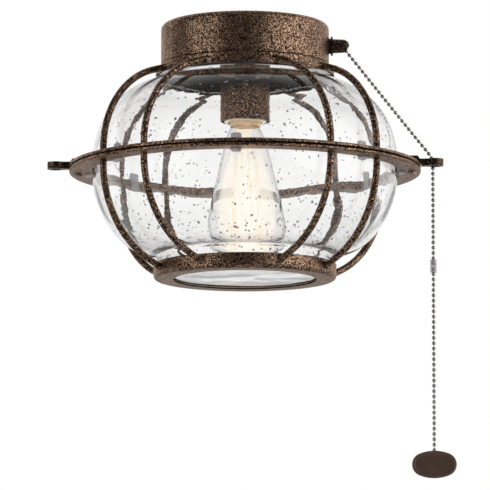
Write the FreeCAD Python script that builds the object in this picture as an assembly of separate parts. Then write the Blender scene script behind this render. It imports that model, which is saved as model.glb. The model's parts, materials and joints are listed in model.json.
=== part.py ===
import FreeCAD, Part
import math
import os
from FreeCAD import Vector

# Caged seeded-glass fan light with a pull chain, in millimetres.
# The origin is the centre of the top mounting face and +Z is up. +X runs through the pull-chain
# nozzle and the right eyelet, and -Y is the front.

# Driving dimensions: heights are measured down from the mounting face.
DRUM_R = 68.0
DRUM_TOP_ROUND = 5.0
SEAM_Z = -33.5
SHEET = 1.2
LIP_R = 72.3
LIP_TOP_Z = -38.7
LIP_BOTTOM_Z = -43.0

RING_OUT_R = 142.0
RING_IN_R = 125.6
RING_MID_Z = -118.6
RING_PLATE = 3.2
RING_TOP_Z = RING_MID_Z + RING_PLATE
RING_BOTTOM_Z = RING_MID_Z - RING_PLATE

RIB_R = 2.72
RIB_S = 128.9
RIB_SIDE = 24.8
UPPER_RIB = {"run": 6.5, "bend_r": 72.5, "turn": 74.0, "end": 17.0}
LOWER_RIB = {"run": 5.2, "bend_r": 79.0, "turn": 65.6, "end": 18.2}

BAND_R = 73.7
BAND_WALL = 2.0
BAND_TOP_Z = -196.2
BAND_BOTTOM_Z = -208.5
BAND_FLANGE = 1.0
BAND_HOLE_R = 57.4

GLASS = 3.0
GLASS_NECK_R = 70.5
GLASS_TOP_Z = -41.2
GLASS_BOTTOM_Z = -207.1
GLASS_WIDEST = (123.8, -117.6)
GLASS_WALL_R = 96.0
GLASS_SHOULDER = (18.0, 60.3)
GLASS_LOWER = (-10.0, 78.7)
GLASS_HEEL = (-41.5, 49.0)
GLASS_CORNER = 4.0

PIPE_R = 4.6
PIPE_THREAD_R = 5.15
DRUM_HOLE_R = 5.3
PIPE_BORE_R = 3.5
PIPE_TOP_Z = 8.0
PIPE_BOTTOM_Z = -51.5
NUT_FLATS = 14.0
NUT_HEIGHT = 4.5
WASHER_R = 9.0
WASHER_HEIGHT = 1.0
COLLAR_WASHER_Z = SEAM_Z - SHEET - WASHER_HEIGHT

HUSK_R = 20.2
HUSK_TOP_Z = -46.0
HUSK_BOTTOM_Z = -79.5
SOCKET_R = 17.7
SOCKET_TOP_Z = -52.0
SOCKET_BOTTOM_Z = -80.2
SOCKET_CAVITY_R = 14.2
SOCKET_CEILING_Z = -54.0
CAP_R = 13.1
CAP_TOP_Z = -60.0
CAP_BOTTOM_Z = -83.5

BULB_R = 32.0
BULB_WIDEST_Z = -168.0
BULB_BOTTOM_Z = -194.5
BULB_END_R = 36.65
BULB_END_Z = BULB_BOTTOM_Z + BULB_END_R
BULB_NECK_R = 11.6
BULB_WALL = 0.9
FILAMENT_COUNT = 10
FILAMENT_TOP = (8.5, -104.0)
FILAMENT_BOTTOM = (12.0, -180.0)
FILAMENT_R = 0.3

EYE_X = 153.2
EYE_R = 7.0
EYE_HOLE_R = 3.2
EYE_TOP_Z = -111.5
EYE_BOTTOM_Z = -117.0
EYE_LEAD_IN = 1.4
EYE_LEAD_OUT = 0.8
SCREW_X = 135.0
SCREW_R = 1.7
SCREW_HEAD_R = 3.2
SCREW_HEAD = 2.9

NOZZLE_Z = -18.2
NOZZLE_R = 5.75
NOZZLE_X = (71.2, 79.2, 84.6)
BUSHING_R = 4.5
BUSHING_X = (59.0, 75.5)
LEAD_R = 1.1
LEAD_BEND = 4.0

CHAIN_R = 1.6
CHAIN_PITCH = 4.3
CHAIN_EXIT = (81.8, -22.1)
CHAIN_X = EYE_X - EYE_HOLE_R + CHAIN_R + 0.1
CHAIN_LEAD_END_Z = -117.2
SWING_Z = -119.1
COUPLING_Z = (-193.4, -203.9)
COUPLING_R = 2.6
FOB_Z = (-347.6, -369.7)
FOB_HALF_WIDTH = 17.9
FOB_THICK = 5.0
FOB_END_R = 9.4
PULL_TRAVEL = 2 * CHAIN_PITCH
WHEEL_CHAIN_R = PULL_TRAVEL / (math.pi / 2)
WHEEL_X = 48.0
WHEEL_Z = NOZZLE_Z - WHEEL_CHAIN_R

DIAGONALS = (45.0, 135.0, 225.0, 315.0)
BUMPER_ANGLES = (0.0, 39.0, 90.0, 141.0, 180.0, 219.0, 270.0, 321.0)
FIT = 0.05

X_AXIS = Vector(1, 0, 0)
Y_AXIS = Vector(0, 1, 0)
Z_AXIS = Vector(0, 0, 1)
ORIGIN = Vector(0, 0, 0)


# ---------------------------------------------------------------- helpers

def outline(*steps):
    """A closed face in the XZ plane. A step is a point (r, z), or two points (middle, end) for an arc."""
    edges = []
    first = last = Vector(steps[0][0], 0, steps[0][1])
    for step in steps[1:]:
        if isinstance(step[0], tuple):
            middle, end = (Vector(p[0], 0, p[1]) for p in step)
            edges.append(Part.Arc(last, middle, end).toShape())
        else:
            end = Vector(step[0], 0, step[1])
            edges.append(Part.LineSegment(last, end).toShape())
        last = end
    if last.distanceToPoint(first) > 1e-6:
        edges.append(Part.LineSegment(last, first).toShape())
    return Part.Face(Part.Wire(edges))


def lathe(*steps):
    """A solid turned about Z from an outline."""
    return outline(*steps).revolve(ORIGIN, Z_AXIS, 360)


def on_circle(centre, radius, degrees):
    """A point of the XZ plane on a circle."""
    turn = math.radians(degrees)
    return (centre[0] + radius * math.cos(turn), centre[1] + radius * math.sin(turn))


def rod(start, end, radius):
    """A cylinder from one point to another."""
    start, end = Vector(*start), Vector(*end)
    return Part.makeCylinder(radius, (end - start).Length, start, end - start)


def sleeve(start, end, outer, inner):
    """A tube from one point to another."""
    return rod(start, end, outer).cut(rod(start, end, inner))


def box(low, high):
    """A box from its lowest corner to its highest."""
    size = [b - a for a, b in zip(low, high)]
    return Part.makeBox(*size, Vector(*low))


def turned(shape, degrees, axis=Z_AXIS, centre=ORIGIN):
    """A copy of a shape turned about an axis."""
    copy = shape.copy()
    copy.rotate(centre, axis, degrees)
    return copy


def hexagon(flats, bottom, top):
    """A hexagonal prism about Z."""
    corner = flats / math.sqrt(3)
    points = [Vector(corner * math.cos(math.radians(60 * i)), corner * math.sin(math.radians(60 * i)), bottom)
              for i in range(7)]
    return Part.Face(Part.makePolygon(points)).extrude(Vector(0, 0, top - bottom))


def cord(points, radius, bend=0.0):
    """A tube along straight runs joined by tangent arcs, as large as the runs allow or of the size given."""
    points = [Vector(*p) for p in points]
    edges = []
    last = points[0]
    length = 0.0
    for before, corner, after in zip(points, points[1:], points[2:]):
        back = (before - corner).normalize()
        ahead = (after - corner).normalize()
        turn = math.pi - back.getAngle(ahead)
        shorter = min((before - corner).Length, (after - corner).Length)
        arc_r = bend or 0.45 * shorter / math.tan(turn / 2)
        reach = arc_r * math.tan(turn / 2)
        start, end = corner + back * reach, corner + ahead * reach
        inward = (back + ahead).normalize()
        middle = corner + inward * (arc_r / math.cos(turn / 2) - arc_r)
        edges.append(Part.LineSegment(last, start).toShape())
        edges.append(Part.Arc(start, middle, end).toShape())
        length += (start - last).Length + arc_r * turn
        print("  bend radius %.1f mm, turn %.0f degrees" % (arc_r, math.degrees(turn)))
        last = end
    edges.append(Part.LineSegment(last, points[-1]).toShape())
    length += (points[-1] - last).Length
    path = Part.Wire(edges)
    ring = Part.Wire(Part.Circle(points[0], points[1] - points[0], radius).toShape())
    tube = path.makePipeShell([ring], True, False)
    ideal = math.pi * radius ** 2 * length
    print("  cord %.1f mm long, volume %.1f against %.1f" % (length, tube.Volume, ideal))
    return tube


# ---------------------------------------------------------------- fitter and stem

def fitter_drum():
    """The spun cup that closes on the fan's hub, with the switch's hole in its side."""
    r, t, top = DRUM_R, SHEET, DRUM_TOP_ROUND
    inner_round = top - t
    shell = lathe((DRUM_HOLE_R, 0), (r - top, 0), (on_circle((r - top, -top), top, 45), (r, -top)),
                  (r, SEAM_Z + 0.6), (r - 0.6, SEAM_Z), (r - t, SEAM_Z), (r - t, -top),
                  (on_circle((r - top, -top), inner_round, 45), (r - top, -t)), (DRUM_HOLE_R, -t))
    hole = rod((r - 4, 0, NOZZLE_Z), (r + 2, 0, NOZZLE_Z), BUSHING_R + 2 * FIT)
    return shell.cut(hole)


def cage_collar():
    """The cap that carries the cage: a disc, a wall in line with the drum, and a wider lip over the glass."""
    r, t = DRUM_R, SHEET
    edge = 0.8
    return lathe((PIPE_R + FIT, SEAM_Z), (r - edge, SEAM_Z),
                 (on_circle((r - edge, SEAM_Z - edge), edge, 45), (r, SEAM_Z - edge)),
                 (r, LIP_TOP_Z), (LIP_R - edge, LIP_TOP_Z),
                 (on_circle((LIP_R - edge, LIP_TOP_Z - edge), edge, 45), (LIP_R, LIP_TOP_Z - edge)),
                 (LIP_R, LIP_BOTTOM_Z), (LIP_R - t, LIP_BOTTOM_Z), (LIP_R - t, LIP_TOP_Z - t),
                 (r - t, LIP_TOP_Z - t), (r - t, SEAM_Z - t), (PIPE_R + FIT, SEAM_Z - t))


def pipe_nipple():
    """The hollow stem that everything hangs from, with a threaded top end and a slot for the leads."""
    stem = rod((0, 0, PIPE_BOTTOM_Z), (0, 0, 0), PIPE_R)
    pipe = stem.fuse(rod((0, 0, 0), (0, 0, PIPE_TOP_Z), PIPE_THREAD_R))
    pipe = pipe.cut(rod((0, 0, PIPE_BOTTOM_Z - 1), (0, 0, PIPE_TOP_Z + 1), PIPE_BORE_R))
    return pipe.cut(box((-PIPE_R - 1, -3.2, -29.5), (PIPE_R + 1, 3.2, -21.5)))


def pipe_nuts():
    """Four thin hexagon nuts on the stem."""
    tops = (-SHEET - WASHER_HEIGHT, COLLAR_WASHER_Z, HUSK_TOP_Z + NUT_HEIGHT, HUSK_TOP_Z - 1.0)
    nuts = []
    for top in tops:
        nut = hexagon(NUT_FLATS, top - NUT_HEIGHT, top)
        nuts.append(nut.cut(rod((0, 0, top - 9), (0, 0, top + 9), PIPE_R + FIT)))
    return Part.makeCompound(nuts)


def lock_washers():
    """A washer under the drum's top and one under the collar's disc."""
    washers = [sleeve((0, 0, top - WASHER_HEIGHT), (0, 0, top), WASHER_R, PIPE_R + FIT)
               for top in (-SHEET, SEAM_Z - SHEET)]
    return Part.makeCompound(washers)


# ---------------------------------------------------------------- cage

def ring_plate(bottom, top):
    """One flat ring plate with a rounded outer rim and the two screw holes."""
    edge = 1.2
    out = RING_OUT_R
    plate = lathe((RING_IN_R, bottom), (out - edge, bottom),
                  (on_circle((out - edge, bottom + edge), edge, -45), (out, bottom + edge)),
                  (out, top - edge), (on_circle((out - edge, top - edge), edge, 45), (out - edge, top)),
                  (RING_IN_R, top))
    for side in (-1, 1):
        x = side * SCREW_X
        plate = plate.cut(rod((x, 0, bottom - 1), (x, 0, top + 1), SCREW_R + 0.1))
    return plate


def rib(way, side, run, bend_r, turn, end):
    """A rod up (way 1) or down (way -1) from the ring in the plane y = side: straight, bent, straight."""
    lean = math.radians(turn)
    reach = bend_r * math.tan(lean / 2)
    corner_z = RING_MID_Z + way * (run + reach)
    past = reach + end
    tip = (RIB_S - past * math.sin(lean), side, corner_z + way * past * math.cos(lean))
    return cord([(RIB_S, side, RING_MID_Z), (RIB_S, side, corner_z), tip], RIB_R, bend=bend_r)


def upper_rib(angle, side):
    """A rod from the upper ring plate to the collar's wall and lip."""
    rod_bent = rib(1, side, **UPPER_RIB)
    collar = rod((0, 0, LIP_TOP_Z), (0, 0, 0), DRUM_R + 0.02)
    lip = rod((0, 0, LIP_BOTTOM_Z), (0, 0, LIP_TOP_Z + 0.02), LIP_R + 0.02)
    ring = box((60, -60, RING_MID_Z - 9), (160, 60, RING_TOP_Z + 0.01))
    return turned(rod_bent.cut(collar.fuse(lip)).cut(ring), angle)


def lower_rib(angle, side):
    """A rod from the lower ring plate to the band's wall."""
    rod_bent = rib(-1, side, **LOWER_RIB)
    band = rod((0, 0, BAND_BOTTOM_Z - 9), (0, 0, BAND_TOP_Z + 0.02), BAND_R + 0.02)
    ring = box((60, -60, RING_BOTTOM_Z - 0.01), (160, 60, RING_MID_Z + 9))
    return turned(rod_bent.cut(band).cut(ring), angle)


def bottom_band():
    """The cup at the foot of the cage: a wall with a rounded lower edge and a flange round the window."""
    r, w, low = BAND_R, BAND_WALL, BAND_BOTTOM_Z
    edge = 3.0
    return lathe((r - w, BAND_TOP_Z), (r - 0.6, BAND_TOP_Z), (r, BAND_TOP_Z - 0.6), (r, low + edge),
                 (on_circle((r - edge, low + edge), edge, -45), (r - edge, low)),
                 (BAND_HOLE_R, low), (BAND_HOLE_R, low + BAND_FLANGE), (r - w, low + BAND_FLANGE))


def eyelet(angle):
    """A forged eye with a block that sits on the ring and takes the screw from below."""
    side = outline((131.5, RING_TOP_Z), (131.5, -108.9), (139.6, -108.9), (141.3, EYE_TOP_Z),
                   (EYE_X - 3, EYE_TOP_Z), (EYE_X - 3, EYE_BOTTOM_Z), (RING_OUT_R + 0.35, EYE_BOTTOM_Z),
                   (RING_OUT_R + 0.35, RING_TOP_Z))
    half = 4.0
    bar = side.extrude(Vector(0, 2 * half, 0))
    bar.translate(Vector(0, -half, 0))
    disc = rod((EYE_X, 0, EYE_BOTTOM_Z), (EYE_X, 0, EYE_TOP_Z), EYE_R)
    a, b = EYE_LEAD_IN, EYE_LEAD_OUT
    low, top, r = EYE_BOTTOM_Z, EYE_TOP_Z, EYE_HOLE_R
    hole = lathe((0, low), (r + b, low), (on_circle((r + b, low + b), b, 225), (r, low + b)), (r, top - a),
                 (on_circle((r + a, top - a), a, 135), (r + a, top)), (0, top))
    hole.translate(Vector(EYE_X, 0, 0))
    tapped = rod((SCREW_X, 0, RING_TOP_Z - 1), (SCREW_X, 0, -110.4), SCREW_R + FIT)
    return turned(bar.fuse(disc).removeSplitter().cut(hole).cut(tapped), angle)


def ring_screws():
    """Two pan-head cross-recess screws, up through both ring plates into the eyelets."""
    z = RING_BOTTOM_Z
    head = lathe((0, z), (SCREW_HEAD_R, z), (SCREW_HEAD_R, z - 1.4), ((2.6, z - 2.5), (1.0, z - SCREW_HEAD)),
                 (0, z - SCREW_HEAD))
    slot = box((-1.9, -0.45, z - 4), (1.9, 0.45, z - 1.5))
    recess = slot.fuse(turned(slot, 90))
    shank = rod((0, 0, z), (0, 0, -110.9), SCREW_R)
    screw = head.fuse(shank).cut(turned(recess, 30))
    screws = []
    for x in (-SCREW_X, SCREW_X):
        copy = screw.copy()
        copy.translate(Vector(x, 0, 0))
        screws.append(copy)
    return Part.makeCompound(screws)


def ring_bumpers():
    """Clear clips over the rings' inner edge that keep the cage off the glass."""
    inner, outer = GLASS_WIDEST[0] + 0.25, RING_IN_R - 0.1
    half = 4.2
    pad = box((inner, -half, -124.1), (outer, half, -108.9))
    corners = [e for e in pad.Edges if abs(e.tangentAt(e.FirstParameter).x) > 0.9]
    pad = pad.makeFillet(1.8, corners)
    upper = box((outer - 0.5, -half, RING_TOP_Z + 0.01), (outer + 4.0, half, RING_TOP_Z + 1.4))
    lower = box((outer - 0.5, -half, RING_BOTTOM_Z - 1.4), (outer + 4.0, half, RING_BOTTOM_Z - 0.01))
    clip = pad.fuse([upper, lower]).removeSplitter()
    return Part.makeCompound([turned(clip, angle) for angle in BUMPER_ANGLES])


# ---------------------------------------------------------------- glass

def glass_arcs(inset):
    """The shoulder's, wall's, lower wall's and heel's circles in order: centre and radius, inset."""
    wall_c = (GLASS_WIDEST[0] - GLASS_WALL_R, GLASS_WIDEST[1])
    shoulder_c = on_circle(wall_c, GLASS_WALL_R - GLASS_SHOULDER[1], GLASS_SHOULDER[0])
    lower_c = on_circle(wall_c, GLASS_WALL_R - GLASS_LOWER[1], GLASS_LOWER[0])
    heel_c = on_circle(lower_c, GLASS_LOWER[1] - GLASS_HEEL[1], GLASS_HEEL[0])
    return ((shoulder_c, GLASS_SHOULDER[1] - inset), (wall_c, GLASS_WALL_R - inset),
            (lower_c, GLASS_LOWER[1] - inset), (heel_c, GLASS_HEEL[1] - inset))


def globe_body(inset):
    """The globe's outside, or its inside when inset by the glass's thickness."""
    shoulder, wall, lower, heel = glass_arcs(inset)
    neck = GLASS_NECK_R - inset
    neck_deg = math.degrees(math.acos((neck - shoulder[0][0]) / shoulder[1]))
    foot_deg = -math.degrees(math.acos((neck - heel[0][0]) / heel[1]))
    turns = (neck_deg, GLASS_SHOULDER[0], GLASS_LOWER[0], GLASS_HEEL[0], foot_deg)
    bends = [(on_circle(*circle, (start + end) / 2), on_circle(*circle, end))
             for circle, start, end in zip((shoulder, wall, lower, heel), turns, turns[1:])]
    corner = GLASS_CORNER - inset
    floor = GLASS_BOTTOM_Z + inset
    top = GLASS_TOP_Z + inset
    return lathe((0, top), (neck, top), on_circle(*shoulder, neck_deg), *bends,
                 (neck, floor + corner),
                 (on_circle((neck - corner, floor + corner), corner, -45), (neck - corner, floor)),
                 (0, floor))


def glass_globe():
    """The blown globe: an open neck, an onion-shaped wall and a flat floor."""
    return globe_body(0.0).cut(globe_body(GLASS))


def globe_top_gasket():
    """A soft ring between the collar's lip and the globe's rim."""
    return sleeve((0, 0, GLASS_TOP_Z), (0, 0, LIP_TOP_Z - SHEET), GLASS_NECK_R, GLASS_NECK_R - GLASS)


def globe_bottom_gasket():
    """A soft ring between the globe's floor and the band's flange."""
    return sleeve((0, 0, BAND_BOTTOM_Z + BAND_FLANGE), (0, 0, GLASS_BOTTOM_Z), 65.5, 60.5)


# ---------------------------------------------------------------- socket and bulb

def socket_husk():
    """The finished cup round the lamp socket."""
    r, w, top, low = HUSK_R, 1.0, HUSK_TOP_Z, HUSK_BOTTOM_Z
    edge = 2.7
    corner = (r - edge, top - edge)
    return lathe((PIPE_R + FIT, top), (r - edge, top), (on_circle(corner, edge, 45), (r, top - edge)),
                 (r, low), (r - w, low), (r - w, top - edge),
                 (on_circle(corner, edge - w, 45), (r - edge, top - w)), (PIPE_R + FIT, top - w))


def socket_body():
    """The insulating body with the lamp's cavity."""
    r, cavity = SOCKET_R, SOCKET_CAVITY_R
    return lathe((0, SOCKET_TOP_Z), (r - 1, SOCKET_TOP_Z), (r, SOCKET_TOP_Z - 1), (r, SOCKET_BOTTOM_Z + 0.8),
                 (r - 0.8, SOCKET_BOTTOM_Z), (cavity, SOCKET_BOTTOM_Z), (cavity, SOCKET_CEILING_Z),
                 (0, SOCKET_CEILING_Z))


def socket_shell():
    """The brass screw shell."""
    return sleeve((0, 0, -79.4), (0, 0, -57.0), SOCKET_CAVITY_R - FIT, SOCKET_CAVITY_R - 0.7)


def socket_contact():
    """The spring contact at the socket's centre."""
    return rod((0, 0, SOCKET_CEILING_Z - 1.2), (0, 0, SOCKET_CEILING_Z), 2.6)


def bulb_cap():
    """The lamp's screw cap, with rolled threads."""
    turns = 6
    pitch = (CAP_TOP_Z - 1.5 - CAP_BOTTOM_Z - 4.0) / turns
    crest, root = CAP_R, CAP_R - 0.7
    steps = [(root - 0.6, CAP_BOTTOM_Z), (crest, CAP_BOTTOM_Z), (crest, CAP_BOTTOM_Z + 4.0)]
    for i in range(turns):
        low = CAP_BOTTOM_Z + 4.0 + i * pitch
        steps += [(root, low + pitch / 2), (crest, low + pitch)]
    steps += [(crest - 1.6, CAP_TOP_Z), (root - 0.6 - 1.0, CAP_TOP_Z), (root - 0.6, CAP_TOP_Z - 1.5)]
    return lathe(*steps)


def bulb_insulator():
    """The glass insulator between the cap and its tip."""
    return lathe((0, -56.6), (4.2, -56.6), (10.6, CAP_TOP_Z), (0, CAP_TOP_Z))


def bulb_tip():
    """The lamp's centre contact."""
    return lathe((0, -55.3), (2.4, -55.3), ((3.6, -55.8), (4.0, -56.6)), (0, -56.6))


def bulb_body(inset):
    """The lamp's outside, or its inside when inset by the wall."""
    neck_z = CAP_BOTTOM_Z + 3.0
    end_r = BULB_END_R - inset
    return lathe((0, neck_z), (BULB_NECK_R - inset, neck_z), (BULB_NECK_R - inset, CAP_BOTTOM_Z - 0.5),
                 (BULB_NECK_R + 1.0 - inset, CAP_BOTTOM_Z - 1.5),
                 ((14.2 - inset, -88.2), (16.2 - inset, -91.5)),
                 (30.3 - inset, -155.0),
                 ((BULB_R - inset, BULB_WIDEST_Z), on_circle((0, BULB_END_Z), end_r, -37.2)),
                 (on_circle((0, BULB_END_Z), end_r, -62.0), (0, BULB_BOTTOM_Z + inset)))


def bulb_glass():
    """The lamp's clear envelope."""
    inside = bulb_body(BULB_WALL)
    return bulb_body(0.0).cut(inside)


def bulb_stem():
    """The pressed glass stem and the rod that holds the filament's supports."""
    stem = lathe((0, -82.0), (10.0, -82.0), (8.6, -85.0), (3.6, -97.0), (2.6, -108.0), (0, -108.0))
    pole = rod((0, 0, -107.0), (0, 0, -182.0), 0.8)
    return stem.fuse(pole).removeSplitter()


def bulb_filament():
    """The cage of upright filament strands."""
    strands = []
    for i in range(FILAMENT_COUNT):
        turn = 2 * math.pi * i / FILAMENT_COUNT
        ends = [(r * math.cos(turn), r * math.sin(turn), z) for r, z in (FILAMENT_TOP, FILAMENT_BOTTOM)]
        strands.append(rod(ends[0], ends[1], FILAMENT_R))
    return Part.makeCompound(strands)


# ---------------------------------------------------------------- pull switch and leads

def switch_case():
    """The switch's case, open at the back, with holes for the wheel's pin and the chain."""
    case = box((35, -11, -32), (59, 11, -11.5)).cut(box((34, -9.5, -30.6), (57.5, 9.5, -13)))
    case = case.cut(rod((56, 0, NOZZLE_Z), (60, 0, NOZZLE_Z), 2.4))
    return case.cut(rod((WHEEL_X, -12, WHEEL_Z), (WHEEL_X, 12, WHEEL_Z), 1.5 + FIT))


def switch_cover():
    """The plate that closes the case, with the leads' holes."""
    plate = box((33.5, -11, -32), (35, 11, -11.5))
    for y, z in ((-6.0, -16.0), (1.4, -24.0)):
        plate = plate.cut(rod((33, y, z), (36, y, z), 1.2))
    return plate


def switch_bushing():
    """The threaded tube that takes the chain through the drum's wall."""
    return sleeve((BUSHING_X[0], 0, NOZZLE_Z), (BUSHING_X[1], 0, NOZZLE_Z), BUSHING_R, 2.4)


def bushing_nut():
    """The thin nut between the drum and the nozzle's washer."""
    return sleeve((68.05, 0, NOZZLE_Z), (69.7, 0, NOZZLE_Z), 6.3, BUSHING_R + FIT)


def nozzle_washer():
    """The thin black disc behind the nozzle."""
    return sleeve((69.7, 0, NOZZLE_Z), (NOZZLE_X[0], 0, NOZZLE_Z), 7.85, BUSHING_R + FIT)


def chain_nozzle():
    """The hooded outlet: a short barrel and a domed nose, cut away below where the chain leaves."""
    back, nose, tip = NOZZLE_X
    dome_r = tip - nose
    outer = outline((back, NOZZLE_Z), (back, NOZZLE_Z + NOZZLE_R), (nose, NOZZLE_Z + dome_r),
                    (on_circle((nose, NOZZLE_Z), dome_r, 45), (tip, NOZZLE_Z)))
    solid = outer.revolve(Vector(0, 0, NOZZLE_Z), X_AXIS, 360)
    past, below = tip + 3, NOZZLE_Z - 12
    cutter = outline((nose, NOZZLE_Z - NOZZLE_R - 0.2), (past, NOZZLE_Z + 3.4), (past, below), (nose, below))
    cutter = cutter.extrude(Vector(0, 20, 0))
    cutter.translate(Vector(0, -10, 0))
    solid = solid.cut(cutter)
    seat = rod((back - 1, 0, NOZZLE_Z), (BUSHING_X[1] + 0.2, 0, NOZZLE_Z), BUSHING_R + FIT)
    turn_x = nose - 0.4
    way = rod((back, 0, NOZZLE_Z), (turn_x, 0, NOZZLE_Z), 2.5)
    elbow = Part.makeSphere(2.7, Vector(turn_x, 0, NOZZLE_Z))
    mouth = rod((turn_x, 0, NOZZLE_Z), (turn_x + 6.4, 0, NOZZLE_Z - 8.6), 2.6)
    return solid.cut(seat).cut(way).cut(elbow).cut(mouth)


def wheel_pin():
    """The fixed pin that the switch's wheel turns on."""
    return rod((WHEEL_X, -11, WHEEL_Z), (WHEEL_X, 11, WHEEL_Z), 1.5)


def pull_wheel():
    """The grooved wheel that the chain turns."""
    half, bore = 4.0, 1.56
    groove = WHEEL_CHAIN_R - CHAIN_R
    rim = 6.3
    wheel = outline((bore, -half), (rim, -half), (rim, -2.4), (groove, -1.2), (groove, 1.2), (rim, 2.4),
                    (rim, half), (bore, half)).revolve(ORIGIN, Z_AXIS, 360)
    wheel = turned(wheel, 90, X_AXIS)
    wheel.translate(Vector(WHEEL_X, 0, WHEEL_Z))
    return wheel


def contact_cam():
    """The cam on the wheel's side that opens and closes the contacts."""
    disc = sleeve((0, 4.0, 0), (0, 7.0, 0), 5.4, 1.56)
    notches = [turned(box((4.0, 3.5, -0.9), (6.0, 7.5, 0.9)), 90 * i, Y_AXIS) for i in range(4)]
    cam = disc.cut(notches[0].fuse(notches[1:]))
    cam.translate(Vector(WHEEL_X, 0, WHEEL_Z))
    return cam


def wire_nuts():
    """Two wire connectors in the drum."""
    nuts = []
    for y, z, mouth in ((-22.0, -20.0, -18.0), (-1.4, -24.0, -22.0)):
        nut = Part.makeCone(5.0, 3.4, 18.0, Vector(mouth, y, z), -X_AXIS)
        nuts.append(nut.cut(rod((mouth - 6, y, z), (mouth + 1, y, z), 1.25)))
    return Part.makeCompound(nuts)


def lead_black():
    """The supply lead from its connector to the switch."""
    route = [(-24.0, -22.0, -20.0), (-6.0, -22.0, -20.0), (12.0, -14.0, -18.0), (24.0, -6.0, -16.0),
             (35.0, -6.0, -16.0)]
    return cord(route, LEAD_R)


def lead_switched():
    """The lead from the switch, through the stem's slot, down to the socket."""
    route = [(35.0, 1.4, -24.0), (1.6, 1.4, -24.0), (1.6, 1.4, SOCKET_TOP_Z)]
    return cord(route, LEAD_R, bend=LEAD_BEND)


def lead_white():
    """The neutral lead from its connector, through the stem's slot, down to the socket."""
    route = [(-28.0, -1.4, -24.0), (-1.6, -1.4, -24.0), (-1.6, -1.4, SOCKET_TOP_Z)]
    return cord(route, LEAD_R, bend=LEAD_BEND)


# ---------------------------------------------------------------- pull chain

def chain_bend():
    """Where the slanting chain turns down over the eyelet's rounded edge, and the bend's radius."""
    bend_r = EYE_LEAD_IN + CHAIN_R + 0.1
    centre = (CHAIN_X - bend_r, EYE_TOP_Z - EYE_LEAD_IN)
    dx, dz = centre[0] - CHAIN_EXIT[0], centre[1] - CHAIN_EXIT[1]
    slope = math.atan2(dz, dx) + math.asin(bend_r / math.hypot(dx, dz))
    corner_z = CHAIN_EXIT[1] + (CHAIN_X - CHAIN_EXIT[0]) * math.tan(slope)
    return corner_z, bend_r


def chain_lead():
    """The chain from the nozzle, tight down to the right eyelet and through it."""
    corner_z, bend_r = chain_bend()
    print("  chain corner at x %.2f z %.2f" % (CHAIN_X, corner_z))
    return cord([(CHAIN_EXIT[0], 0, CHAIN_EXIT[1]), (CHAIN_X, 0, corner_z), (CHAIN_X, 0, CHAIN_LEAD_END_Z)],
                CHAIN_R, bend=bend_r)


def swing_bead():
    """The bead below the eyelet that the hanging chain swings on."""
    return Part.makeSphere(CHAIN_R, Vector(CHAIN_X, 0, SWING_Z))


def chain_drop():
    """The chain from the eyelet down to the coupling."""
    return rod((CHAIN_X, 0, COUPLING_Z[0] + 0.3), (CHAIN_X, 0, SWING_Z - CHAIN_R - 0.3), CHAIN_R)


def chain_coupling():
    """The clear sleeve that joins the two chains, with a wall across its middle."""
    low, top = COUPLING_Z[1], COUPLING_Z[0]
    edge = 0.5
    body = lathe((0, low), (COUPLING_R - edge, low), (COUPLING_R, low + edge), (COUPLING_R, top - edge),
                 (COUPLING_R - edge, top), (0, top))
    body.translate(Vector(CHAIN_X, 0, 0))
    for z in (low, top):
        body = body.cut(rod((CHAIN_X, 0, z - 4.6), (CHAIN_X, 0, z + 4.6), CHAIN_R + 0.2))
    return body


def extension_chain():
    """The chain from the coupling down to the fob."""
    return rod((CHAIN_X, 0, FOB_Z[0] + 0.3), (CHAIN_X, 0, COUPLING_Z[1] - 0.01), CHAIN_R)


def fob_face(inset):
    """The fob's oval outline of four tangent arcs, in from its edge by the inset."""
    high, wide = (FOB_Z[0] - FOB_Z[1]) / 2, FOB_HALF_WIDTH
    end_r = FOB_END_R
    end_x = wide - end_r
    side_r = (end_x ** 2 + high ** 2 - end_r ** 2) / (2 * (high - end_r))
    side_z = side_r - high
    meet = math.degrees(math.atan2(side_z, end_x))
    end_r, side_r = end_r - inset, side_r - inset
    corners = [on_circle((sx * end_x, 0), end_r, deg) for sx, deg in
               ((1, meet), (-1, 180 - meet), (-1, 180 + meet), (1, -meet))]
    return outline(corners[0], ((0, side_r - side_z), corners[1]), ((-end_x - end_r, 0), corners[2]),
                   ((0, side_z - side_r), corners[3]), ((end_x + end_r, 0), corners[0]))


def pull_fob():
    """The oval fob with a raised rim round a plain sunk face on each side."""
    half = FOB_THICK / 2
    body = fob_face(0.0).extrude(Vector(0, FOB_THICK, 0))
    body.translate(Vector(0, -half, 0))
    rim_edges = [e for e in body.Edges if abs(abs(e.CenterOfMass.y) - half) < 1e-6]
    body = body.makeChamfer(0.9, rim_edges)
    sunk = fob_face(2.6).extrude(Vector(0, 2.0, 0))
    for y in (-half - 1.1, half - 0.9):
        panel = sunk.copy()
        panel.translate(Vector(0, y, 0))
        body = body.cut(panel)
    body.translate(Vector(CHAIN_X, 0, (FOB_Z[0] + FOB_Z[1]) / 2))
    return body


# ---------------------------------------------------------------- output

def save(node, shape):
    """Writes one sub-part."""
    shape.exportStep(os.path.join("parts", node + ".step"))
    valid = shape.isValid() and all(s.Volume > 0 for s in shape.Solids)
    note = "" if valid else "INVALID"
    print("%-20s %2d solids %10.1f mm3 %s" % (node, len(shape.Solids), shape.Volume, note))


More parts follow.
